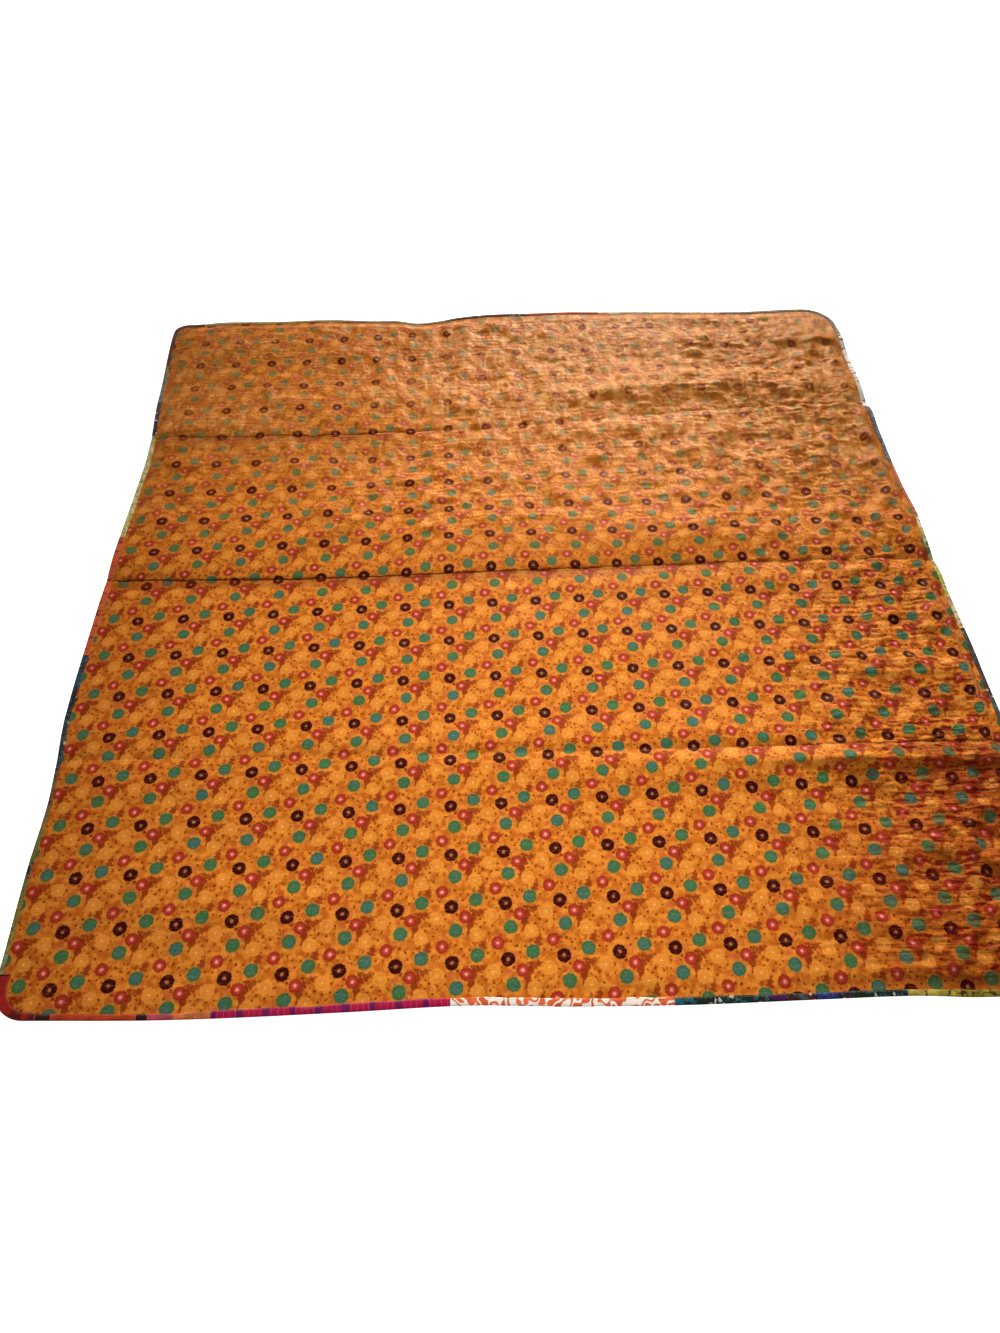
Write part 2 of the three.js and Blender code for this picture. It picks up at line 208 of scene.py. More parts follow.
# Small creases and drag lines: both ends, the half widths of the near and far slopes, and height.
WRINKLES = table(
    "x0 y0 x1 y1 front back rise",
    (-360, 238, -190, 262, 5, 8, 1.6),
    (-40, 132, 130, 146, 5, 8, 1.5),
    (-480, 62, -210, 210, 12, 16, 3.6),
    (-540, 110, -240, 290, 12, 18, 3.2),
    (-300, 66, -150, 130, 10, 14, 3.4),
    (-250, 140, -150, 96, 9, 12, 3.4),
    (-250, 150, -150, 206, 9, 12, 3.8),
    (-240, 232, -150, 190, 9, 12, 3.4),
    (-250, 236, -140, 292, 9, 12, 3.8),
    (-240, 322, -140, 282, 9, 12, 3.6),
    (-240, 330, -120, 384, 9, 12, 4.0),
    (-230, 412, -130, 376, 9, 12, 3.6),
    (290, 192, 420, 200, 5, 8, 1.5),
    (-560, 314, -390, 324, 6, 9, 1.4),
    (60, 305, 135, 405, 12, 12, 2.0),
    (130, 400, 260, 446, 12, 12, 2.0),
    (-610, -432, -400, -428, 4, 7, 0.8),
    (240, 196, 420, 206, 9, 16, 2.2),
    (260, 236, 520, 244, 9, 18, 2.6),
    (330, 320, 460, 342, 10, 18, 2.0),
    (640, 330, 820, 372, 10, 20, 2.4),
    (330, 590, 420, 668, 16, 24, 4.0),
    (380, 712, 700, 726, 7, 18, 4.0),
    (600, 736, 960, 730, 7, 18, 3.0),
    (590, 800, 760, 806, 9, 16, 2.0),
    (220, 760, 300, 812, 12, 18, 2.0),
    (620, -160, 880, -140, 7, 13, 2.4),
    (560, -262, 1080, -292, 48, 16, 7.5),
    (300, -468, 1060, -488, 9, 26, 7.0),
    (650, -560, 890, -590, 7, 12, 2.4),
    (600, -650, 900, -640, 7, 13, 2.8),
    (640, -760, 890, -742, 7, 13, 2.4),
    (660, 120, 880, 112, 8, 15, 2.4),
    (520, 30, 760, 22, 6, 10, 1.6),
    (120, 540, 640, 566, 40, 16, 5.0),
    (560, 546, 1100, 540, 34, 16, 4.5),
    (230, 590, 500, 600, 44, 22, 4.0),
    (470, 584, 640, 596, 20, 18, 3.0),
    (-240, 470, -120, 520, 14, 24, 1.6),
    (-160, 620, -40, 668, 13, 22, 1.6))


def wrinkle(x, y, row):
    """Rounded ridge from end to end: rise · 4t(1 − t) · exp(−(d ÷ half width)²), with t along it and d
    beside it, and one half width on its near slope and another on its far one."""
    dx, dy = row["x1"] - row["x0"], row["y1"] - row["y0"]
    length = math.hypot(dx, dy)
    t = np.clip(((x - row["x0"]) * dx + (y - row["y0"]) * dy) / length ** 2, 0, 1)
    beside = ((y - row["y0"]) * dx - (x - row["x0"]) * dy) / length
    half = np.where(beside < 0, row["front"], row["back"])
    return row["rise"] * 4 * t * (1 - t) * np.exp(-(beside / half) ** 2)


def patchy(u, v, seed):
    """Soft random field from 0 to 1: seeded values on a unit lattice, eased from each to the next."""
    i, j = np.floor(u).astype(int), np.floor(v).astype(int)
    i, j = i - i.min(), j - j.min()
    values = np.random.default_rng(seed).random((i.max() + 2, j.max() + 2))
    s, t = ease(u - np.floor(u)), ease(v - np.floor(v))
    low = values[i, j] * (1 - s) + values[i + 1, j] * s
    high = values[i, j + 1] * (1 - s) + values[i + 1, j + 1] * s
    return low * (1 - t) + high * t


def from_crease(x, y):
    """Signed distance beyond the nearest pressed crease, negative on its near side, how strongly that
    crease is marked there, and how far the cloth steps up behind it."""
    nearest = np.full_like(x, 1e3)
    mark, step = np.zeros_like(x), np.zeros_like(x)
    for fold in FOLDS:
        if fold["sharp"]:
            beyond = y - course(fold, "y", x)
            closer = np.abs(beyond) < np.abs(nearest)
            nearest = np.where(closer, beyond, nearest)
            mark = np.where(closer, course(fold, "mark", x), mark)
            step = np.where(closer, course(fold, "step", x), step)
    return nearest, mark, step


def from_edge(x, y):
    """Distance inwards from the outline: to the nearest side, or inside a corner to its arc."""
    inside = np.minimum(np.minimum(x - left_x(y), right_x(y) - x), np.minimum(y - near_y(x), far_y(x) - y))
    for (sign_x, sign_y), (cx, cy, radius) in CORNERS.items():
        beyond = ((x - cx) * sign_x > 0) & ((y - cy) * sign_y > 0)
        inside = np.where(beyond, radius - np.hypot(x - cx, y - cy), inside)
    return inside


def side_end(sign, y, inset):
    """Where a level line at y meets the left (−1) or right (1) edge, moved inwards: on the side's own
    line between its corners, and on the corner's arc past them."""
    x = (left_x(y) if sign < 0 else right_x(y)) - sign * inset
    for sign_y in (-1, 1):
        cx, cy, radius = CORNERS[sign, sign_y]
        past = np.maximum((y - cy) * sign_y, 0)
        arc = cx + sign * np.sqrt(np.maximum((radius - inset) ** 2 - past ** 2, 0))
        x = np.where(past > 0, arc, x)
    return x


def gathering(x, y):
    """How tightly the stitches draw the cloth up: slack at the near left, tight along the right and
    beyond the middle, and half slack again in the far right corner."""
    right = ease((x - 260) / 480) * (0.75 + 0.5 * patchy(x / 170, y / 120, 5))
    beyond = ease((y - 40) / 130) * (0.62 + 0.25 * ease((x + 420) / 500))
    corner = ease((x - 600) / 140) * ease((y - 640) / 90)
    return (0.18 + 0.85 * right + 0.8 * beyond * (1 - 0.6 * right)) * (1 - 0.45 * corner)


def rowing(x, y):
    """How hard the rows of stitches are drawn into ridges of their own: on the right of the near half,
    and twice as hard in front of the near crease as behind it."""
    near = 0.5 * ease((70 - y) / 140) + 0.5 * ease((-360 - y) / 100)
    return ease((x - 420) / 360) * near * (0.7 + 0.6 * patchy(x / 110, y / 70, 23))


def painted_haze_field(x, y):
    """How strongly the print is paled by painted haze, standing for the window's pale sheen over the far
    half: hardly at the near side, and most towards the far right corner.
    """
    across = 0.22 + 0.56 * ease((x + 450) / 800)
    return ease((y + 120) / 700) * (across + 0.5 * patchy(x / 150, y / 110, 21))


def painted_shade_field(x, y):
    """How much painted shade darkens the face: along the left edge, round the near right corner, and in a
    band in front of the near crease on the right, where the cloth lies in shade."""
    left = 0.55 * ease((-560 - x) / 300) * (1 - 0.6 * ease(y / 400))
    corner = ease((x - 330) / 380) * ease((-500 - y) / 160)
    lip = ease((x - 560) / 210) * ease((-430 - y) / 60) * ease((y + 640) / 130)
    return left + 1.25 * corner + 1.9 * lip


def heaves(x, y):
    """Height to which the drawn cloth lifts off the floor, for a strength of one: rounded mounds of two
    sizes, drawn out across the rows of stitches. They are random fields, pushed about by two others, and
    come up in patches, where a third and wider field is high."""
    push_x = 30 * (patchy(x / 62, y / 58, 31) - 0.5)
    push_y = 44 * (patchy(x / 62, y / 58, 32) - 0.5)
    small = patchy((x + push_x) / 27, (y + push_y) / 42, 12)
    fine = patchy((x - push_x) / 14, (y - push_y) / 21, 16)
    large = patchy((x + push_x) / 95, (y + push_y) / 90, 15)
    return (10.5 * small + 5.5 * fine) * (0.45 + 0.75 * large)


def puckers(x, row):
    """Height of the puffs between the rows of stitches, for a strength of one. With f the share of the way
    from one row to the next, a puff rises over the first third and falls to the next row, f and the row
    wandering a little; its height is random along the row, and many are nearly flat."""
    row = row + 0.7 * (patchy(x / 40, row / 2.3, 17) - 0.5)
    share = row - np.floor(row)
    puff = ease(share / 0.34) * ease((1 - share) / 0.8)
    tall = np.maximum(patchy(x / 16, np.floor(row), 11) - 0.3, 0)
    return 3.6 * puff * tall * (0.3 + 1.1 * patchy(x / 70, row / 5, 14))


def sheet_places(columns, lines):
    """Grid over the cloth: lines run from side to side and are spread evenly from the near edge to the far
    one at each place across. Columns are closer to each other on the right, where the cloth is drawn up
    most. Returns x, y and the row of stitches, counted from the near edge."""
    share = np.linspace(0, 1, lines + 1)[:, None]

    def line_y(x):
        """Where each line runs at a place across: the two outer ones keep clear of the strips' folds."""
        low, high = near_y(x) + TONGUE_INSET, far_y(x) - TONGUE_INSET
        return low + (high - low) * share

    ends = []
    for sign in (-1, 1):
        x = np.full((lines + 1, 1), float(sign * HALF_WIDTH))
        for _ in range(5):
            x = side_end(sign, line_y(x), TONGUE_INSET)
        ends.append(x)
    t = np.linspace(0, 1, columns + 1)[None, :]
    t = t + 0.32 * t * (1 - t)
    x = ends[0] + (ends[1] - ends[0]) * t
    return x, line_y(x), share * STITCH_ROWS * np.ones_like(x)


def make_mesh(name, places, faces, uvs):
    """Mesh piece from its vertices' places in millimetres, faces of any size, and named UV maps, each
    given as one pair of values to a vertex."""
    mesh = bpy.data.meshes.new(name)
    mesh.from_pydata(places.reshape(-1, 3) * MM, [], faces)
    corners = np.empty(len(mesh.loops), int)
    mesh.loops.foreach_get("vertex_index", corners)
    for title, pairs in uvs.items():
        layer = mesh.uv_layers.new(name=title)
        layer.data.foreach_set("uv", pairs.reshape(-1, 2)[corners].astype("f4").ravel())
    mesh.shade_smooth()
    piece = bpy.data.objects.new(name, mesh)
    bpy.context.scene.collection.objects.link(piece)
    return piece


def grid_faces(number, flip=False):
    """Four-sided faces of a grid of vertex numbers, anticlockwise seen from above unless flipped."""
    quads = np.stack([number[:-1, :-1], number[:-1, 1:], number[1:, 1:], number[1:, :-1]], -1).reshape(-1, 4)
    return (quads[:, ::-1] if flip else quads).tolist()


# The print repeats on a slightly turned and sheared lattice. Its places follow the cloth's surface, so
# they are measured along the folds, and it drifts a little where the cloth was pulled in quilting.
PRINT_START = (-143.4, -806.5)
PRINT_ACROSS = (87.4, 3.27)
PRINT_UP = (-0.85, 89.3)
DRIFTS = table(
    "x y long wide across up",
    (-820, -350, 160, 600, 6, 0),
    (-120, 330, 330, 260, -2, 12),
    (-100, 50, 170, 70, 0, -11),
    (330, 140, 160, 160, 6, 12),
    (-480, 220, 260, 160, -5, 4),
    (760, -330, 130, 120, -7, 0),
    (520, 820, 500, 120, 0, -9))


def print_places(x, y, height):
    """Place in the print in repeats: (x, length along the cloth from the near edge), less each drift
    times exp(−(dx ÷ long)² − (dy ÷ wide)²), through the inverse of the lattice's two steps."""
    climb = np.hypot(np.diff(y, axis=0), np.diff(height, axis=0))
    run = y[:1] + np.vstack([np.zeros_like(y[:1]), np.cumsum(climb, axis=0)])
    along = x.copy()
    for drift in DRIFTS:
        near = np.exp(-((x - drift["x"]) / drift["long"]) ** 2 - ((y - drift["y"]) / drift["wide"]) ** 2)
        along = along + drift["across"] * near
        run = run + drift["up"] * near
    steps = np.linalg.inv(np.array([PRINT_ACROSS, PRINT_UP]).T)
    offset = np.stack([along - PRINT_START[0], run - PRINT_START[1]])
    return np.tensordot(steps, offset, 1)


def make_quilt():
    """The closed sheet. The top is lie + thickness + wrinkles + heaves + puckers on a fine grid. At the
    creases, which wander a little, it steps up by step · exp(−(d ÷ half width)²), narrow in front and
    wide behind, and its puckers are pressed flatter. Where folds raise it, it heaves both up and down.
    The underside is the same without the puckers, on a coarse grid, and walls of many-sided faces join
    them. Near the outline the thickness falls to the pressed tongue that the strips grip."""
    x, y, row = sheet_places(COLUMNS, STITCH_ROWS * LINES_A_ROW)
    inside = from_edge(x, y)
    ridges = sum(wrinkle(x, y, line) for line in WRINKLES)
    free = ease((inside - CALM_FROM) / CALM_SLOPE)
    strength = gathering(x, y) * free
    flat = lie(x, y)
    crease, mark, step = from_crease(x, y)
    bent = crease + 5 * (patchy(x / 42, y / 400, 41) - 0.5)
    stepped = step * np.exp(-(bent / np.where(bent < 0, STEP_FRONT, STEP_BACK)) ** 2)
    heaved = strength * (heaves(x, y) - HEAVE_SINK * ease(flat / SINK_FROM))
    base = flat + (ridges + stepped) * free + heaved
    full = ease((inside - TONGUE_FROM) / TONGUE_SLOPE)
    thick = TONGUE_HIGH + (BODY_THICK - TONGUE_HIGH) * full
    pressed = PRESS_DEEP * mark * np.exp(-(crease / PRESS_HALF) ** 2)
    rowed = rowing(x, y) * free
    drawn_rows = (strength + 0.5 * rowed) * puckers(x, row) * (1 - 0.6 * np.exp(-(crease / 6) ** 2))
    top = base + thick + drawn_rows - pressed * free
    low = base + TONGUE_LOW * (1 - full)
    under = (slice(None, None, LINES_A_ROW), slice(None, None, COLUMNS // UNDER_COLUMNS))

    def both(field, below):
        """Values at the vertices of the top, and then at those of the coarser underside."""
        return np.concatenate([values.reshape(values.shape[0] * values.shape[1], -1)
                               for values in (field, below[under])])

    places = both(np.stack([x, y, top], -1), np.stack([x, y, np.maximum(low, 0)], -1))
    upper = np.arange(x.size).reshape(x.shape)
    lower = x.size + np.arange(x[under].size).reshape(x[under].shape)
    faces = grid_faces(upper) + grid_faces(lower, flip=True)
    for fine, coarse, outward in ((upper[0], lower[0], 1), (upper[-1], lower[-1], -1),
                                  (upper[:, -1], lower[:, -1], 1), (upper[:, 0], lower[:, 0], -1)):
        stride = (len(fine) - 1) // (len(coarse) - 1)
        for k in range(len(coarse) - 1):
            face = [coarse[k], coarse[k + 1], *fine[k * stride:(k + 1) * stride + 1][::-1]]
            faces.append([int(v) for v in face[::outward]])
    print_uv = np.stack(print_places(x, y, base), -1)
    stitch_uv = np.stack([x * MM, row], -1)
    piece = make_mesh("quilt_sheet", places, faces, {
        "print": both(print_uv, print_uv),
        "rows": both(stitch_uv, stitch_uv)})
    for title, field in (("drawn", strength), ("crease", crease), ("mark", mark), ("painted_haze", painted_haze_field(x, y)),
                         ("painted_shade", painted_shade_field(x, y)), ("rowed", rowed)):
        layer = piece.data.attributes.new(title, "FLOAT", "POINT")
        layer.data.foreach_set("value", both(field, field).ravel().astype("f4"))
    return piece


class Wire:
    """One output socket of a shader node. Arithmetic on it adds Math nodes."""

    def __init__(self, finish, socket):
        self.finish = finish
        self.socket = socket

    def math(self, operation, *others):
        return self.finish.add("Math", {"operation": operation}, dict(enumerate((self, *others))))

    def __add__(self, other):
        return self.math("ADD", other)

    __radd__ = __add__

    def __sub__(self, other):
        return self.math("SUBTRACT", other)

    def __rsub__(self, other):
        return self.finish.add("Math", {"operation": "SUBTRACT"}, {0: other, 1: self})

    def __mul__(self, other):
        return self.math("MULTIPLY", other)

    __rmul__ = __mul__

    def cosine(self):
        return self.math("COSINE")

    def size(self):
        return self.math("ABSOLUTE")

    def least(self, other):
        return self.math("MINIMUM", other)

    def most(self, other):
        return self.math("MAXIMUM", other)

    def above(self, edge, soft, low=0.0, high=1.0):
        """Low well under edge and high well over it, eased over 2 · soft."""
        ends = {"From Min": edge - soft, "From Max": edge + soft, "To Min": low, "To Max": high}
        return self.finish.add("MapRange", {"interpolation_type": "SMOOTHSTEP"}, {"Value": self, **ends})

    def below(self, edge, soft):
        """1 well under edge and 0 well over it."""
        return self.above(edge, soft, 1.0, 0.0)


THREADS = 13000               # radians of weave to a metre: two threads in each 0.48 mm


class Finish:
    """A material made of nodes, on one Principled shader."""

    def __init__(self, name, **shader):
        self.material = bpy.data.materials.new(name)
        self.material.use_nodes = True
        self.tree = self.material.node_tree
        self.shader = self.tree.nodes["Principled BSDF"]
        self.feed(self.shader, {key.replace("_", " "): value for key, value in shader.items()})

    def feed(self, node, values):
        """Give a node's sockets their values or links."""
        for key, value in values.items():
            if isinstance(value, Wire):
                self.tree.links.new(value.socket, node.inputs[key])
            else:
                node.inputs[key].default_value = value

    def add(self, kind, settings=None, values=None, output=0):
        """A node of this kind, with its settings made first and then its socket values and links."""
        node = self.tree.nodes.new("ShaderNode" + kind)
        for key, value in (settings or {}).items():
            setattr(node, key, value)
        self.feed(node, values or {})
        return Wire(self, node.outputs[output])

    def vector(self, operation, *vectors):
        """Vector Math: its number, output 1, for lengths and dot products, or else its vector."""
        output = 1 if operation in ("LENGTH", "DOT_PRODUCT") else 0
        return self.add("VectorMath", {"operation": operation}, dict(enumerate(vectors)), output)

    def mix(self, share, first, second):
        """Colour between two others, which are the node's inputs 6 and 7."""
        return self.add("Mix", {"data_type": "RGBA"}, {0: share, 6: first, 7: second}, 2)

    def cover(self, colour, *coats):
        """Colour under further coats, each a share and a paint."""
        for share, tint in coats:
            colour = self.mix(share, colour, paint(*tint))
        return colour

    def choose(self, share, first, second):
        """Vector between two others, which are the node's inputs 4 and 5."""
        return self.add("Mix", {"data_type": "VECTOR"}, {0: share, 4: first, 5: second}, 1)

    def noise(self, place, scale, detail=2.0, roughness=0.5):
        values = {"Vector": place, "Scale": scale, "Detail": detail, "Roughness": roughness}
        return self.add("TexNoise", None, values)

    def metres(self):
        """Place in metres: Object coordinates, which are the node's output 3."""
        return self.add("TexCoord", None, None, 3)

    def parts(self, place):
        """A place's first two components."""
        return [self.add("SeparateXYZ", None, {0: place}, k) for k in (0, 1)]

    def weave(self, place):
        """Plain weave of either sign: the sine of the place along each set of threads, multiplied."""
        warp, weft = self.parts(self.vector("MULTIPLY", place, (THREADS, THREADS, 0)))
        return warp.math("SINE") * weft.math("SINE")

    def bump(self, height, distance):
        return self.add("Bump", None, {"Height": height, "Distance": distance})


def paint(red, green, blue):
    """Colour from 0–255 display values to the linear values that a shader takes."""
    share = np.array([red, green, blue]) / 255
    linear = np.where(share > 0.04045, ((share + 0.055) / 1.055) ** 2.4, share / 12.92)
    return (*[float(v) for v in linear], 1.0)


HALF = (0.5, 0.5, 0.5)
SLIP = (0.05, 0.05, 0.0)      # how far the print's shapes wander, in repeats
STITCH_BEATS = 90             # stitches to a metre of a row
FACE_RELIEF = 0.0016          # metres of relief for a height of one
SHADE_RED = (132, 20, 10)     # cloth in the shade of its own folds

# Flowers of one repeat, as their places from the dark flower's centre, in repeats.
DARK_FLOWERS = [(0.0, 0.0)]
TEAL_FLOWERS = [(0.45, 0.105), (0.07, -0.435)]
RED_FLOWERS = [(-0.175, 0.292), (0.25, -0.205)]
PALE_FLOWERS = [(-0.27, -0.20), (0.443, 0.470)]
# Dots: place and radius.
DOTS = [(-0.404, -0.321, 0.021), (-0.263, -0.385, 0.018), (-0.474, -0.404, 0.016), (-0.333, 0.487, 0.019),
        (-0.128, -0.359, 0.014), (-0.115, -0.218, 0.017), (0.096, -0.147, 0.026), (0.526, 0.737, 0.013),
        (-0.353, 0.128, 0.017), (-0.224, 0.115, 0.015), (0.064, 0.308, 0.021), (0.167, 0.231, 0.019),
        (0.212, 0.109, 0.019), (0.310, 0.210, 0.018), (0.346, -0.083, 0.016), (0.455, 0.655, 0.012)]
# Leafy sprays: middle, direction in degrees, half length, half width and strength.
SPRAYS = [(0.345, -0.295, -104, 0.215, 0.082, 0.95), (0.510, -0.130, 24, 0.115, 0.070, 0.85),
          (-0.436, 0.285, 72, 0.120, 0.074, 0.90), (0.417, 0.300, 75, 0.055, 0.032, 0.65),
          (-0.035, 0.325, 45, 0.060, 0.038, 0.65)]
# Soft patches of the ground: middle, radius, colour.
PATCHES = [(-0.290, 0.000, 0.11, (196, 94, 24)), (0.230, 0.378, 0.10, (200, 100, 28)),
           (0.013, -0.230, 0.10, (206, 95, 54)), (-0.160, 0.480, 0.09, (198, 86, 40)),
           (0.130, 0.050, 0.12, (224, 122, 62))]


def away(cloth, place, centre):
    """Vector to each place of the print from the nearest copy of a point of the repeat."""
    offset = cloth.vector("SUBTRACT", place, (centre[0], centre[1], 0))
    return cloth.vector("WRAP", offset, HALF, (-0.5, -0.5, -0.5))


def print_ground(cloth, place, smudge, grain):
    """The ground under the flowers: two oranges in blotches, soft patches, clusters of specks and single
    dots, and leafy sprays. A spray is an oval, |v| · (1 + 0.45u) + 0.7u², with an edge broken by leaves."""
    colour = cloth.mix(smudge.above(0.5, 0.16), paint(202, 103, 27), paint(236, 147, 50))
    for x, y, radius, tint in PATCHES:
        patch = cloth.vector("LENGTH", away(cloth, place, (x, y))) + (smudge - 0.5) * 0.12
        colour = cloth.cover(colour, (patch.below(radius * 0.6, radius * 0.5) * 0.6, tint))

    specks = cloth.add("TexVoronoi", None, {"Vector": place, "Scale": 12.5})
    cluster = cloth.noise(place, 4.5, 1.0).above(0.47, 0.06)
    marks = specks.below(0.19, 0.06) * cluster * 0.9
    spots = [cloth.vector("LENGTH", away(cloth, place, dot)) - dot[2] for dot in DOTS]
    nearest = spots[0]
    for spot in spots[1:]:
        nearest = nearest.least(spot)
    marks = marks.most((nearest + (grain - 0.5) * 0.03).below(0.005, 0.008) * 0.9)
    colour = cloth.cover(colour, (marks, (136, 42, 6)))

    leaves = cloth.add("TexVoronoi", None, {"Vector": place, "Scale": 24.0})
    for x, y, turn, long, wide, strength in SPRAYS:
        dx, dy = math.cos(math.radians(turn)), math.sin(math.radians(turn))
        offset = away(cloth, place, (x, y))
        u = cloth.vector("DOT_PRODUCT", offset, (dx / long, dy / long, 0))
        v = cloth.vector("DOT_PRODUCT", offset, (-dy / wide, dx / wide, 0)).size()
        leaf = v * (u * 0.45 + 1).most(0.4) + u * u * 0.7 + (u * 9).cosine() * 0.22
        leaf = leaf + (grain - 0.5) * 0.4 + leaves.above(0.42, 0.16) * 0.14
        colour = cloth.cover(colour, (leaf.below(0.90, 0.22) * (strength * 0.88), (134, 28, 14)))
    return colour


def flower_reach(cloth, place):
    """Distance from the nearest dark, teal, red and pale flower, each plus a small cosine of the angle
    round the nearest flower of any kind, which makes its rim wavy."""
    flowers = DARK_FLOWERS + TEAL_FLOWERS + RED_FLOWERS + PALE_FLOWERS
    offsets = [away(cloth, place, flower) for flower in flowers]
    reach = [cloth.vector("LENGTH", offset) for offset in offsets]
    nearest, shortest = offsets[0], reach[0]
    for offset, length in zip(offsets[1:], reach[1:]):
        nearest = cloth.choose(length.math("LESS_THAN", shortest), nearest, offset)
        shortest = shortest.least(length)
    across, up = cloth.parts(nearest)
    angle = up.math("ARCTAN2", across)
    dark = reach[0] + (angle * 13).cosine() * 0.004
    teal = reach[1].least(reach[2]) + (angle * 9).cosine() * 0.004
    red = reach[3].least(reach[4]) + (angle * 12).cosine() * 0.006
    pale = reach[5].least(reach[6]) + (angle * 11).cosine() * 0.007
    return dark, teal, red, pale


def print_flowers(cloth, colour, place, smudge, grain, painted_haze, far):
    """The flowers over the ground, pale ones first and dark ones last, each drawn as discs and rings from its
    rim to its eye. Red and teal ones are painted thinner with the distance from the near edge, and all are
    paled with the painted haze: both stand for the window's sheen over the far half."""
    dark, teal, red, pale = flower_reach(cloth, place)
    kept = 1 - far * 0.5
    greener = cloth.noise(place, 1.7, 2.0, 0.6) - far * 0.05
    sea = cloth.mix(greener.above(0.53, 0.10), paint(50, 108, 54), paint(52, 102, 98))
    night = cloth.mix((painted_haze * 1.1).least(1.0), paint(54, 0, 4), paint(140, 50, 0))
    colour = cloth.cover(
        colour,
        (pale.below(0.124, 0.024) * (0.6 - painted_haze * 0.3).most(0.2), (240, 152, 54)),
        ((pale - 0.108).size().below(0.012, 0.008) * grain.above(0.42, 0.12) * 0.45, (248, 170, 76)),
        ((pale - 0.080).size().below(0.008, 0.010) * 0.22, (212, 116, 34)),
        ((pale - 0.054).size().below(0.009, 0.008) * grain.above(0.40, 0.14) * 0.42, (250, 176, 84)),
        ((pale - 0.034).size().below(0.005, 0.007) * 0.22, (206, 108, 30)),
        (pale.below(0.018, 0.010) * 0.8, (255, 206, 124)),
        (red.below(0.118, 0.016) * (1.1 - far * 0.4 - painted_haze * 0.3).least(1.0), (162, 40, 24)),
        (red.below(0.078, 0.035) * (0.35 + smudge * 0.5 - painted_haze * 0.2), (204, 76, 62)),
        (red.below(0.030, 0.014) * (1 - far * 0.45), (252, 160, 142)),
        (teal.below(0.146, 0.016) * 0.35, (176, 150, 92)),
        (teal.below(0.126, 0.014) * kept, (84, 98, 40)))
    colour = cloth.mix(teal.below(0.106, 0.018) * kept, colour, sea)
    colour = cloth.cover(
        colour,
        (teal.below(0.09, 0.03) * grain.above(0.50, 0.14) * 0.55, (88, 138, 116)),
        (painted_haze * 0.48, (208, 134, 50)))
    colour = cloth.mix(dark.below(0.128, 0.009), colour, night)
    return cloth.cover(
        colour,
        (dark.below(0.056, 0.020) * 0.35, (120, 34, 20)),
        (dark.below(0.027, 0.016) * 0.9, (196, 134, 92)))


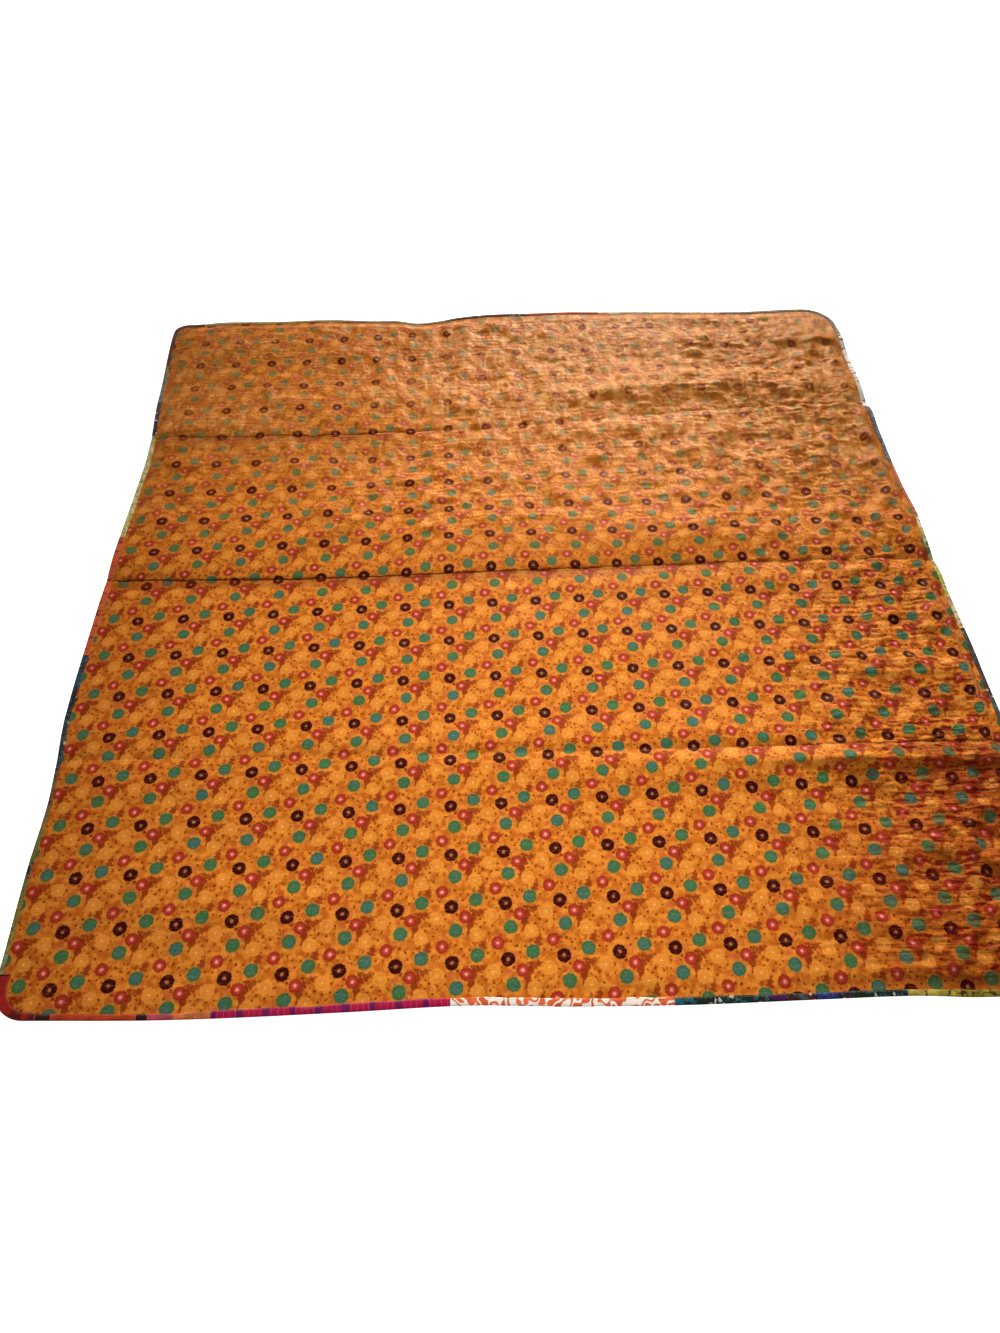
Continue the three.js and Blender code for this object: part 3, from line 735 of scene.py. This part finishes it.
def make_print():
    """Finish of the quilt's face: the ground with its painted haze, its painted shade, painted sheen and
    shade on the puffs and painted shadow in the hollows of the rows, the flowers, and over them the stitches
    and dark lines painted along the creases as the shadow in their valleys, with a soft painted shadow in
    front of them. A noise's three colours push the print's shapes about. The bump is what is too fine for the
    mesh: crumples and crinkles along the rows, the hollows between the rows, the threads and the weave."""
    cloth = Finish("flower printed cotton", Specular_IOR_Level=0.11, Specular_Tint=(1.0, 0.80, 0.56, 1.0))
    printed = cloth.add("UVMap", {"uv_map": "print"})
    wander = cloth.add("TexNoise", None, {"Vector": printed, "Scale": 13.0, "Detail": 2.0}, 1)
    slip = cloth.vector("MULTIPLY", cloth.vector("SUBTRACT", wander, HALF), SLIP)
    place = cloth.vector("ADD", printed, slip)
    smudge = cloth.noise(place, 8.0, 2.0)
    grain = cloth.noise(place, 36.0, 2.0)
    rows = cloth.add("UVMap", {"uv_map": "rows"})
    along, row = cloth.parts(rows)
    # Share of the way into the far rows: the flowers are painted paler there, a painted haze like the
    # window's sheen over the far half.
    far = (row * 0.015 - 0.75).most(0).least(1)
    painted_haze, painted_shade, rowed, drawn, crease, mark = [
        cloth.add("Attribute", {"attribute_name": title}, None, 2)
        for title in ("painted_haze", "painted_shade", "rowed", "drawn", "crease", "mark")]

    def ripple(lengthways, crossways, detail=1.0, roughness=0.5):
        """Noise that follows the rows: cells to a metre along them, and to a row across them."""
        cells = cloth.vector("MULTIPLY", rows, (lengthways, crossways, 0))
        return cloth.noise(cells, 1.0, detail, roughness)

    # Patches along the rows, by which the puffs' gloss and shade are painted: a cream sheen where high, a
    # darker shade where low.
    puff = ripple(46, 0.32, 2.0, 0.6)
    painted_sheen = (painted_haze * 1.5 - 0.5).most(0)
    wavy = row + (ripple(26, 0.4) - 0.5) * 1.4
    hollow = ripple(36, 0.8).above(0.54, 0.05) * wavy.math("PINGPONG", 0.5).below(0.30, 0.14)
    dash = hollow * (rowed * 1.1 + drawn * 0.14).least(0.85)
    colour = cloth.cover(
        print_ground(cloth, place, smudge, grain),
        # Painted haze: the window's pale sheen over the far half.
        (painted_haze * 0.5, (212, 134, 50)),
        # Painted sheen on the puffs, then painted shade between them.
        (puff.above(0.55, 0.08) * painted_sheen.least(0.75), (255, 202, 136)),
        (puff.below(0.515, 0.07) * painted_haze.least(0.85), (176, 76, 14)),
        # Painted shade along the left edge, round the near right corner and in front of the near crease.
        (painted_shade * (0.18 + smudge * 0.2), (136, 18, 0)),
        (dash, SHADE_RED))
    colour = print_flowers(cloth, colour, place, smudge, grain, painted_haze, far)

    gap = row.math("PINGPONG", 0.5)
    own = cloth.add("TexWhiteNoise", {"noise_dimensions": "1D"}, {"W": (row + 0.5).math("FLOOR")})
    beat = (along * STITCH_BEATS + own).math("FRACT")
    thread = gap.below(0.028, 0.012) * beat.below(0.56, 0.05)
    jagged = ripple(60, 1, 3.0, 0.6)
    bend = crease + (jagged - 0.5) * 8
    # A dark jagged line painted along each marked crease: the shadow in its narrow valley. It also sinks the
    # bump.
    line = bend.size().below(1.8, 1.4) * (jagged + mark * 0.5).above(0.72, 0.22) * mark
    # A soft shadow painted in front of each strongly marked crease, where the step behind it shades the
    # cloth.
    dusk = (bend + 12).size().below(10.0, 9.0) * mark.above(0.66, 0.16)
    colour = cloth.cover(
        colour,
        # A second, golden coat of painted sheen on the puffs.
        ((puff.above(0.52, 0.08) * painted_sheen).least(0.25), (226, 150, 72)),
        # More of that painted shade.
        (painted_shade * 0.14, (112, 8, 0)),
        (grain.above(0.60, 0.16) * 0.05, (236, 168, 100)),
        (dash * 0.4, SHADE_RED),
        (thread * 0.35, (206, 128, 60)),
        (line * 0.85, (70, 10, 4)),
        (dusk * 0.45, (120, 40, 12)))

    streak = ripple(32, 0.9, 1.0, 0.55)
    crinkle = ripple(110, 1.2, 2.0, 0.6)
    crumple = (ripple(34, 0.30) - 0.5).size()
    height = (crinkle * (drawn * 1.1 + 0.15) + streak * (rowed * 1.2 + drawn * 1.3)
              + gap.above(0.08, 0.08) * (rowed * 0.30 + 0.10) + crumple * (drawn * 4.2 + 0.3)
              + thread * 0.2 + cloth.weave(cloth.metres()) * 0.02 - line * 0.8 - hollow * rowed * 0.8)
    cloth.feed(cloth.shader, {
        "Base Color": colour,
        "Roughness": 0.30 + smudge * 0.12,
        "Normal": cloth.bump(height, FACE_RELIEF)})
    return cloth.material


quilt = make_quilt()
quilt.data.materials.append(make_print())
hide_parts("quilt")
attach(quilt, "root")


# ---- Edge strips ----
# Odd lengths of other cottons, each folded over the quilt's raw edge from below and turned in on the
# front, where a line of running stitch holds it down. They follow one another round the whole edge.

STRIP_STEP = 3.5              # from one cross-section of a strip to the next
STRIP_GAP = 0.3               # between the ends of two strips
OUTLINE_STEP = 4              # along the sides of the outline
ARC_STEPS = 24                # in each corner's quarter circle
HEM_PLACE = 0.0022            # of the hem's stitches from the turned-in edge, in metres
HEM_BEATS = 150               # its stitches to a metre
COTTON_RELIEF = 0.0009        # metres of relief for a height of one

STRIPS = table(
    "name side start width last slot kind ground second mark",
    ("vermilion", "near", -770, 10, 8, "vermilion_cotton", "plain",
     (208, 70, 18), (226, 92, 34), (140, 34, 10)),
    ("rose", "near", -620, 8, 10, "rose_cotton", "plain", (224, 118, 62), (214, 98, 66), (150, 50, 34)),
    ("magenta", "near", -505, 11, 12, "magenta_stripe", "checks", (184, 16, 66), (158, 16, 78), (88, 14, 84)),
    ("scroll", "near", -145, 12, 12, "scroll_print", "scroll",
     (230, 112, 64), (212, 92, 50), (255, 250, 244)),
    ("teal", "near", 195, 12, 9, "dark_print", "speckle", (20, 96, 108), (26, 70, 84), (12, 30, 26)),
    ("olive", "near", 550, 10, 11, "olive_print", "lines", (186, 162, 36), (164, 142, 40), (24, 18, 12)),
    ("forest", "right", -673, 11, 10, "dark_print", "speckle", (18, 34, 26), (34, 70, 56), (96, 28, 34)),
    ("lime", "right", -184, 10, 9, "lime_print", "scroll", (178, 176, 84), (150, 158, 74), (226, 220, 176)),
    ("salmon", "right", 110, 9, 9, "rose_cotton", "dashes", (206, 112, 84), (196, 100, 78), (120, 34, 34)),
    ("slate", "right", 292, 10, 12, "slate_cotton", "scroll", (92, 100, 112), (70, 74, 84), (140, 136, 140)),
    ("chalk", "right", 480, 13, 12, "chalk_print", "dashes", (250, 247, 242), (242, 236, 228), (140, 84, 62)),
    ("dusk", "right", 760, 12, 10, "slate_cotton", "scroll", (88, 98, 120), (120, 108, 118), (170, 150, 96)),
    ("cream", "far", 560, 10, 10, "lime_print", "scroll", (206, 172, 142), (190, 150, 124), (228, 206, 182)),
    ("red", "far", 240, 10, 10, "vermilion_cotton", "plain", (172, 58, 38), (186, 76, 48), (120, 30, 20)),
    ("brown", "far", 50, 10, 9, "maroon_cotton", "speckle", (70, 20, 16), (96, 40, 30), (120, 70, 56)),
    ("sage", "far", -160, 9, 10, "slate_cotton", "scroll", (118, 122, 102), (140, 128, 100), (172, 150, 120)),
    ("khaki", "far", -450, 10, 11, "lime_print", "scroll", (160, 142, 78), (146, 140, 96), (196, 172, 110)),
    ("wine", "far", -790, 11, 10, "maroon_cotton", "bars", (90, 26, 18), (108, 38, 24), (60, 12, 10)),
    ("grey", "left", 694, 10, 11, "slate_cotton", "scroll", (104, 104, 90), (92, 100, 110), (140, 130, 100)),
    ("mulberry", "left", 553, 11, 11, "maroon_cotton", "speckle", (74, 24, 26), (96, 40, 36), (40, 12, 16)),
    ("straw", "left", 435, 11, 13, "lime_print", "scroll", (178, 168, 84), (160, 158, 70), (216, 206, 160)),
    ("orange", "left", 111, 14, 12, "vermilion_cotton", "dashes",
     (206, 78, 26), (216, 94, 38), (120, 26, 18)),
    ("navy", "left", -193, 13, 9, "dark_print", "speckle", (22, 30, 40), (34, 62, 70), (70, 30, 34)),
    ("moss", "left", -443, 8, 8, "olive_print", "scroll", (70, 40, 18), (96, 62, 26), (116, 96, 44)),
    ("maroon", "left", -803, 20, 11, "maroon_cotton", "bars", (176, 26, 10), (150, 14, 8), (86, 6, 6)))

# Further stretches of a strip's cloth, each from its distance along the strip in millimetres: figures
# of the print that are longer than the strip is wide.
STRETCHES = {
    "rose": [(0, (44, 12, 8)), (16, (204, 84, 100)), (56, (232, 124, 66))],
    "teal": [(34, (20, 44, 34)), (138, (84, 22, 84)), (172, (86, 30, 20)), (214, (38, 48, 128)),
             (248, (78, 22, 80)), (268, (22, 40, 24))],
    "olive": [(0, (196, 176, 70)), (70, (160, 140, 30)), (150, (190, 164, 40))],
    "forest": [(60, (60, 24, 26)), (130, (22, 50, 46)), (250, (50, 84, 70)), (330, (70, 26, 30)),
               (400, (24, 70, 66))],
    "lime": [(0, (214, 172, 142)), (84, (196, 194, 60)), (168, (118, 150, 74)), (220, (190, 186, 104))],
    "orange": [(305, (150, 20, 24))],
    "navy": [(36, (24, 74, 92)), (84, (20, 22, 28)), (150, (26, 60, 62))],
    "moss": [(74, (160, 112, 34)), (116, (96, 122, 46)), (176, (52, 40, 20)), (206, (112, 130, 52)),
             (238, (158, 152, 50)), (326, (150, 146, 104))],
    "vermilion": [(0, (60, 8, 8)), (22, (206, 68, 20))],
}


def outline_points():
    """The whole outline, anticlockwise from where the near left corner's arc meets the near side: four
    sides in nearly even steps, each followed by its corner's arc."""
    def side(first, last, place):
        at = np.linspace(first, last, int(abs(last - first) / OUTLINE_STEP), endpoint=False)
        return np.stack(place(at), -1)

    def arc(sign_x, sign_y, begin):
        cx, cy, radius = CORNERS[sign_x, sign_y]
        angle = np.radians(begin + np.linspace(0, 90, ARC_STEPS, endpoint=False))
        return np.stack([cx + radius * np.cos(angle), cy + radius * np.sin(angle)], -1)

    near_left, near_right = CORNERS[-1, -1], CORNERS[1, -1]
    far_right, far_left = CORNERS[1, 1], CORNERS[-1, 1]
    return np.concatenate([
        side(near_left[0], near_right[0], lambda at: (at, near_y(at))), arc(1, -1, -90),
        side(near_right[1], far_right[1], lambda at: (right_x(at), at)), arc(1, 1, 0),
        side(far_right[0], far_left[0], lambda at: (at, far_y(at))), arc(-1, 1, 90),
        side(far_left[1], near_left[1], lambda at: (left_x(at), at)), arc(-1, -1, 180)])


outline = outline_points()
closed = np.vstack([outline, outline[:1]])
lengths = np.concatenate([[0], np.cumsum(np.hypot(*np.diff(closed, axis=0).T))])


def strip_start(strip):
    """Length along the outline at which a strip starts: that of the outline's nearest point."""
    places = {"near": near_y, "far": far_y, "left": left_x, "right": right_x}
    at = strip["start"]
    other = float(places[strip["side"]](at))
    point = (at, other) if strip["side"] in ("near", "far") else (other, at)
    return lengths[np.hypot(*(outline - point).T).argmin()]


# A strip's cross-section, from its inner edge round the outer fold, over the front to the turned-in edge
# and back inside: share of the width, millimetres added to it, and height.
PROFILE = np.array([
    (1.0, -1.0, 0.00), (0.5, 0.0, 0.00), (0.0, 1.9, 0.00), (0.0, 0.75, 0.25), (0.0, 0.15, 0.95),
    (0.0, 0.00, 1.80), (0.0, 0.15, 2.65), (0.0, 0.75, 3.35), (0.0, 1.9, 3.62), (0.5, 0.0, 3.72),
    (0.85, -0.4, 3.70), (1.0, -0.7, 3.60), (1.0, 0.0, 3.20), (1.0, -0.5, 2.75), (0.5, 0.0, 2.70),
    (0.0, 2.2, 2.70), (0.0, 1.2, 2.35), (0.0, 0.9, 1.80), (0.0, 1.2, 1.25), (0.0, 2.2, 0.90),
    (0.5, 0.0, 0.90), (1.0, -1.0, 0.90)])
FRONT = slice(7, 12)          # the points over the front, and how much each follows the cloth's swell
FRONT_SWELL = np.array([0.3, 0.8, 1.0, 1.0, 0.7])
TURNED_EDGE = 12              # the point at the turned-in edge


def strip_profile(width, swell):
    """Cross-sections for many widths: distance inwards, height, and length from the turned-in edge."""
    inwards = width[:, None] * PROFILE[:, 0] + PROFILE[:, 1]
    height = np.broadcast_to(PROFILE[:, 2], inwards.shape).copy()
    height[:, FRONT] += swell[:, None] * FRONT_SWELL
    along = np.hypot(np.diff(inwards, axis=1), np.diff(height, axis=1))
    across = np.pad(np.cumsum(along, axis=1), ((0, 0), (1, 0)))
    return inwards, height, across[:, [TURNED_EDGE]] - across


def make_strip(strip, start, end, seed):
    """One strip: its cross-section carried along its stretch of the outline on the cloth's folds. The
    width goes evenly from its first to its last, with a hand-sewn unevenness."""
    def outline_at(s):
        """Place on the outline at a length along it."""
        return np.stack([np.interp(s % lengths[-1], lengths, closed[:, k]) for k in (0, 1)])

    steps = max(int((end - start) / STRIP_STEP), 4)
    s = np.linspace(start + STRIP_GAP / 2, end - STRIP_GAP / 2, steps + 1)
    share = (s - start) / (end - start)
    x, y = outline_at(s)
    tangent = outline_at(s + 2) - outline_at(s - 2)
    tangent = tangent / np.hypot(*tangent)
    uneven = 2.4 * (patchy(s / 33, np.zeros_like(s), seed) - 0.5)
    width = strip["width"] + (strip["last"] - strip["width"]) * share + uneven
    swell = 0.7 * (patchy(s / 19, np.zeros_like(s), seed + 40) - 0.4)
    inwards, height, across = strip_profile(width, swell)
    px = x[:, None] - tangent[1][:, None] * inwards
    py = y[:, None] + tangent[0][:, None] * inwards
    pz = np.maximum(lie(px, py) + height, 0)
    number = np.arange(px.size).reshape(px.shape)
    ring = np.concatenate([number, number[:, :1]], axis=1)
    faces = grid_faces(ring)
    faces.append(number[0].tolist())
    faces.append(number[-1][::-1].tolist())
    uv = np.stack([np.broadcast_to(s[:, None] - start, px.shape) * MM, across * MM], -1)
    return make_mesh("strip_" + strip["name"], np.stack([px, py, pz], -1), faces, {"cloth": uv})


def make_cotton(strip, seed):
    """Finish of one strip: two tones of its cloth, its further stretches, its marks, the weave and the
    hem's stitches. The seed moves the patterns, so that two strips of one print aren't alike."""
    cotton = Finish(strip["name"] + " cotton", Roughness=0.85, Specular_IOR_Level=0.3,
                    Sheen_Weight=0.2, Sheen_Roughness=0.5)
    own = cotton.add("UVMap", {"uv_map": "cloth"})
    along, across = cotton.parts(own)
    place = cotton.vector("ADD", own, (seed * 0.37, seed * 0.11, 0))
    tone = cotton.noise(place, 42.0, 3.0, 0.6)
    colour = cotton.mix(tone.above(0.5, 0.12), paint(*strip["ground"]), paint(*strip["second"]))
    here = along + (tone - 0.5) * 0.012

    def streaks(narrow, scale, detail=1.0):
        """Noise of the cloth, drawn out across the strip."""
        return cotton.noise(cotton.vector("MULTIPLY", place, (1, narrow, 0)), scale, detail)

    for begin, tint in STRETCHES.get(strip["name"], []):
        shade = tuple(int(v * 0.8) for v in tint)
        stretch = cotton.mix(tone.above(0.5, 0.12), paint(*tint), paint(*shade))
        colour = cotton.mix(here.above(begin * MM, 0.001), colour, stretch)
    kind = strip["kind"]
    if kind == "bars":
        marks = streaks(0.08, 36.0).above(0.56, 0.03)
    elif kind == "scroll":
        curls = cotton.noise(place, 46.0, 1.0)
        marks = (curls - 0.46).size().below(0.04, 0.012).most(curls.above(0.60, 0.015))
    elif kind == "speckle":
        cells = cotton.add("TexVoronoi", None, {"Vector": place, "Scale": 190.0}, 1)
        first, second = cotton.parts(cells)
        colour = cotton.cover(
            colour,
            (first.above(0.84, 0.02) * 0.8, (34, 96, 104)),
            (second.above(0.95, 0.01) * 0.8, (206, 200, 196)))
        marks = first.below(0.26, 0.02)
    elif kind == "checks":
        lines = (here * 110).math("FRACT").below(0.12, 0.05)
        colour = cotton.cover(colour, (lines * 0.45, (226, 84, 140)))
        marks = (here * 25 + 0.05).math("FRACT").below(0.22, 0.03)
    elif kind == "dashes":
        marks = streaks(0.35, 110.0).above(0.60, 0.02)
    elif kind == "lines":
        marks = (cotton.noise(place, 46.0, 1.0) - 0.5).size().below(0.018, 0.008)
    else:
        marks = tone.above(0.66, 0.08) * 0.4
    hem = (across - HEM_PLACE).size().below(0.0004, 0.0002)
    stitch = hem * (along * HEM_BEATS).math("FRACT").below(0.55, 0.06)
    colour = cotton.cover(colour, (marks * 0.9, strip["mark"]), (stitch * 0.3, (206, 170, 130)))
    height = streaks(0.3, 190.0, 2.0) * 0.8 + stitch * 0.4 - hem * 0.5 + cotton.weave(place) * 0.03
    cotton.feed(cotton.shader, {
        "Base Color": colour,
        "Roughness": 0.76 + tone * 0.18,
        "Normal": cotton.bump(height, COTTON_RELIEF)})
    return cotton.material


starts = [strip_start(strip) for strip in STRIPS]
starts.append(starts[0] + lengths[-1])
for k, strip in enumerate(STRIPS):
    piece = make_strip(strip, starts[k], starts[k + 1], 100 + k)
    piece.data.materials.append(make_cotton(strip, k))
    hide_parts("edge_" + strip["name"])
    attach(piece, "root")


# ---- Room ----
# A plain pale floor under the throw. A wide window stands low behind it on the right: one lamp there
# only lights, and another only gives the cloth its gloss. A third hangs overhead. The eye is that of a
# person who stands at the near edge and looks down. Places and sizes are in metres, angles in degrees.

FLOOR_HALF = 7.0
FLOOR_BELOW = 0.0003
LAMPS = table(
    "name place target width height power colour spread unseen_by",
    ("window", (0.9, 6.0, 2.4), (0.08, -0.45, 0.0), 2.4, 1.4, 24.5, (1.0, 0.93, 0.84), 26, "glossy"),
    ("glare", (1.3, 5.0, 2.0), (0.12, -0.15, 0.0), 2.4, 1.4, 138, (1.0, 0.89, 0.76), 180, "diffuse"),
    ("overhead", (0.04, -0.35, 1.5), (0.04, -0.35, 0.0), 0.4, 1.8, 6.0, (1.0, 0.95, 0.86), 115, "glossy"))
EYE_PLACE = (-0.0780, -1.2352, 1.4103)
EYE_TARGET = (-0.0522, -0.2441, 0.0)
EYE_ROLL = -0.25


def make_floor():
    """Level sheet just under the throw, white enough to glow a little, with faint cloudy patches."""
    t = np.linspace(-FLOOR_HALF, FLOOR_HALF, 9)
    x, y = np.meshgrid(t, t)
    places = np.stack([x, y, np.full_like(x, -FLOOR_BELOW)], -1) / MM
    floor = make_mesh("floor", places, grid_faces(np.arange(x.size).reshape(x.shape)), {})
    pale = Finish("pale floor", Roughness=0.9, Specular_IOR_Level=0.1,
                  Emission_Color=(1.0, 1.0, 1.0, 1.0), Emission_Strength=1.0)
    cloud = pale.noise(pale.metres(), 3.0)
    pale.feed(pale.shader, {"Base Color": pale.mix(cloud, (0.90, 0.90, 0.90, 1), (0.93, 0.93, 0.93, 1))})
    floor.data.materials.append(pale.material)
    return floor


def aim(thing, place, target, roll=0.0):
    """Put a lamp or camera into the room at a place, its −Z axis turned to a target and its top up."""
    towards = (Vector(target) - Vector(place)).normalized()
    turn = towards.to_track_quat("-Z", "Y").to_matrix().to_4x4() @ Matrix.Rotation(math.radians(roll), 4, "Z")
    thing.matrix_world = Matrix.Translation(place) @ turn
    bpy.context.scene.collection.objects.link(thing)


def make_lamp(name, place, target, width, height, power, colour, spread, unseen_by):
    """Oblong lamp that throws its light within a spread, and not on the rays that it is unseen by."""
    lamp = bpy.data.lights.new(name, "AREA")
    lamp.shape = "RECTANGLE"
    lamp.size = width
    lamp.size_y = height
    lamp.energy = power
    lamp.color = colour
    lamp.spread = math.radians(spread)
    thing = bpy.data.objects.new(name, lamp)
    setattr(thing, "visible_" + unseen_by, False)
    aim(thing, place, target)


make_floor()
for lamp in LAMPS:
    make_lamp(**lamp)

world = bpy.data.worlds.new("room")
world.use_nodes = True
background = world.node_tree.nodes["Background"]
background.inputs["Color"].default_value = (1.0, 1.0, 1.0, 1.0)
background.inputs["Strength"].default_value = 0.08
bpy.context.scene.world = world
bpy.context.scene.view_settings.view_transform = "Standard"

eye = bpy.data.cameras.new("eye")
eye.sensor_width = 36.0
eye.lens = 24.3
camera = bpy.data.objects.new("eye", eye)
aim(camera, EYE_PLACE, EYE_TARGET, EYE_ROLL)
bpy.context.scene.camera = camera
